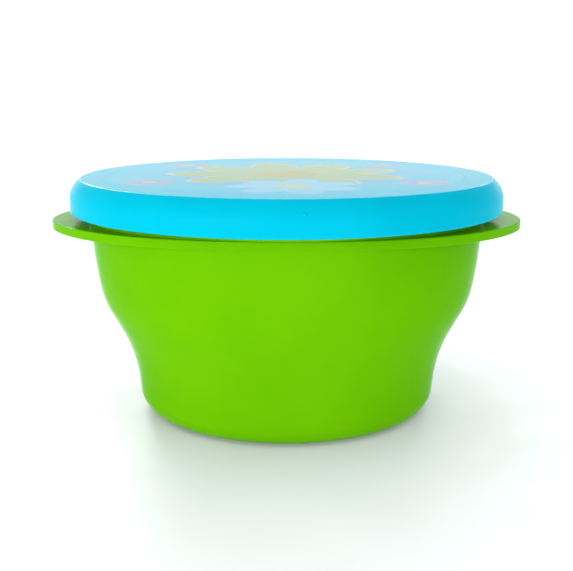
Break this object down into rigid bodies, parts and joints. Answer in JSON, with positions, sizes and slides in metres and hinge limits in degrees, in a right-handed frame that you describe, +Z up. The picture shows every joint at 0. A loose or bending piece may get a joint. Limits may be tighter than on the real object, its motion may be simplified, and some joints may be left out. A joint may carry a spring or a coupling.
{
  "type": "snap lid food container",
  "caption": "Round plastic food bowl with an S-curved wall, an oval flange with side tabs, and a flat press-on lid with a deep skirt.",
  "frame": {"origin": "middle of the bowl's foot, on the surface that it stands on", "axes": "+Z up through the lid, +X towards one side tab, -Y towards the front"},
  "size_m": [0.154, 0.141, 0.0774],
  "materials": {
    "bowl_plastic": "satin",
    "lid_plastic": "satin",
    "label_film": "satin"
  },
  "bodies": {
    "bowl": {"bowl": "bowl_plastic"},
    "lid": {"snap_lid": "lid_plastic", "lid_label": "label_film"}
  },
  "joints": [
    {"name": "lid_lift", "type": "slide", "parent": "bowl", "child": "lid", "axis": [0, 0, 1], "range_m": [0, 0.06]}
  ]
}
